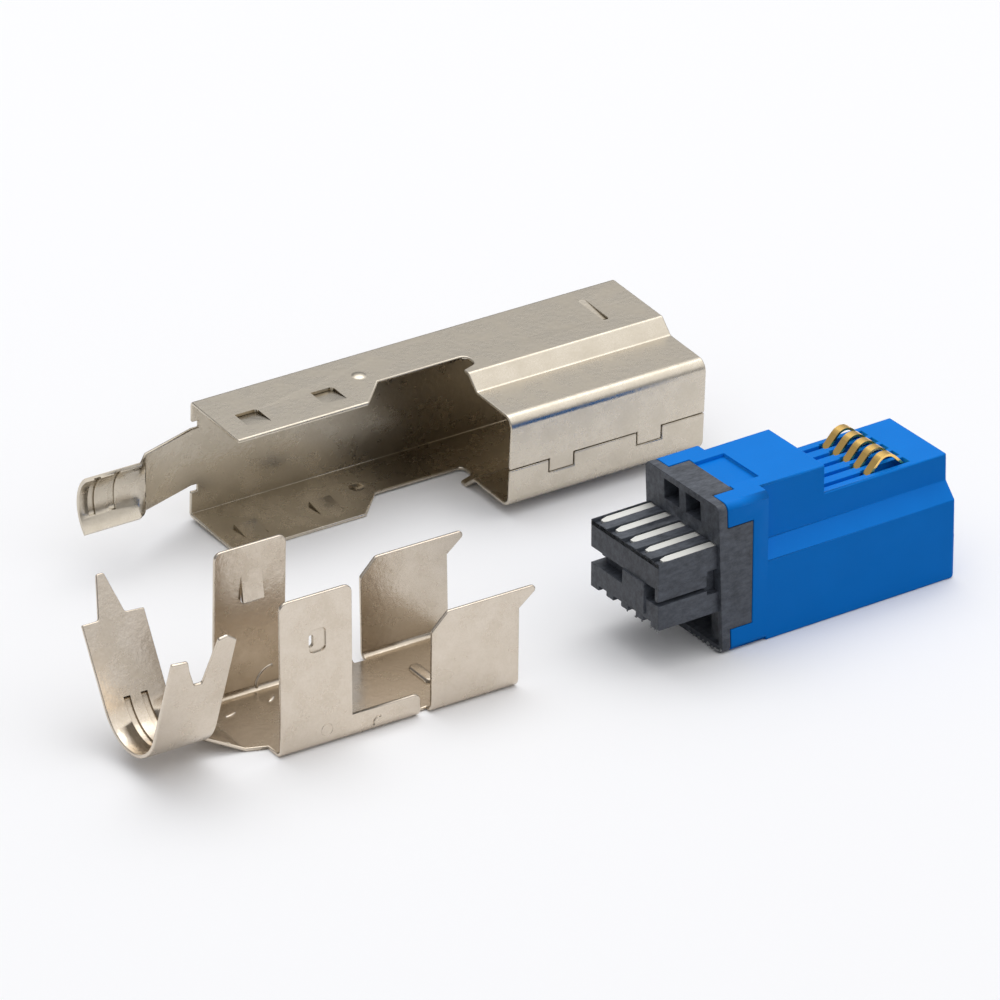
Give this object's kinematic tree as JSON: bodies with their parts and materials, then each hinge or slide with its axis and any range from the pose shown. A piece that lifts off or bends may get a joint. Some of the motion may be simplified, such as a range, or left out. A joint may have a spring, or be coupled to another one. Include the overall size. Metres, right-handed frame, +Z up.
{
  "type": "usb-b plug",
  "caption": "Unassembled square cable plug kit: folded metal front shell, metal crimp cover with cable barrel, and a blue plastic insulator with its terminal block and spring contacts.",
  "frame": {"origin": "on the table under the middle of the laid-out kit's bounding box", "axes": "+X along the front shell towards its mating end, +Y from the cover and the insulator to the front shell, +Z up from the table"},
  "size_m": [0.0534, 0.0316, 0.0103],
  "materials": {
    "nickel_steel_shell": "satin nickel plate on cold rolled steel sheet",
    "nickel_steel_cover": "satin nickel plate on cold rolled steel sheet",
    "blue_pbt": "moulded, slightly glossy",
    "charcoal_pbt": "moulded, glass filled, slightly mottled",
    "gold_contact": "gold plated springs, tinned tails"
  },
  "bodies": {
    "root": {"front_shell": "nickel_steel_shell", "crimp_cover": "nickel_steel_cover", "insulator_housing": "blue_pbt", "terminal_block": "charcoal_pbt", "upper_contact_1": "gold_contact", "upper_contact_2": "gold_contact", "upper_contact_3": "gold_contact", "upper_contact_4": "gold_contact", "upper_contact_5": "gold_contact", "lower_contact_1": "gold_contact", "lower_contact_2": "gold_contact", "lower_contact_3": "gold_contact", "lower_contact_4": "gold_contact"}
  },
  "joints": []
}
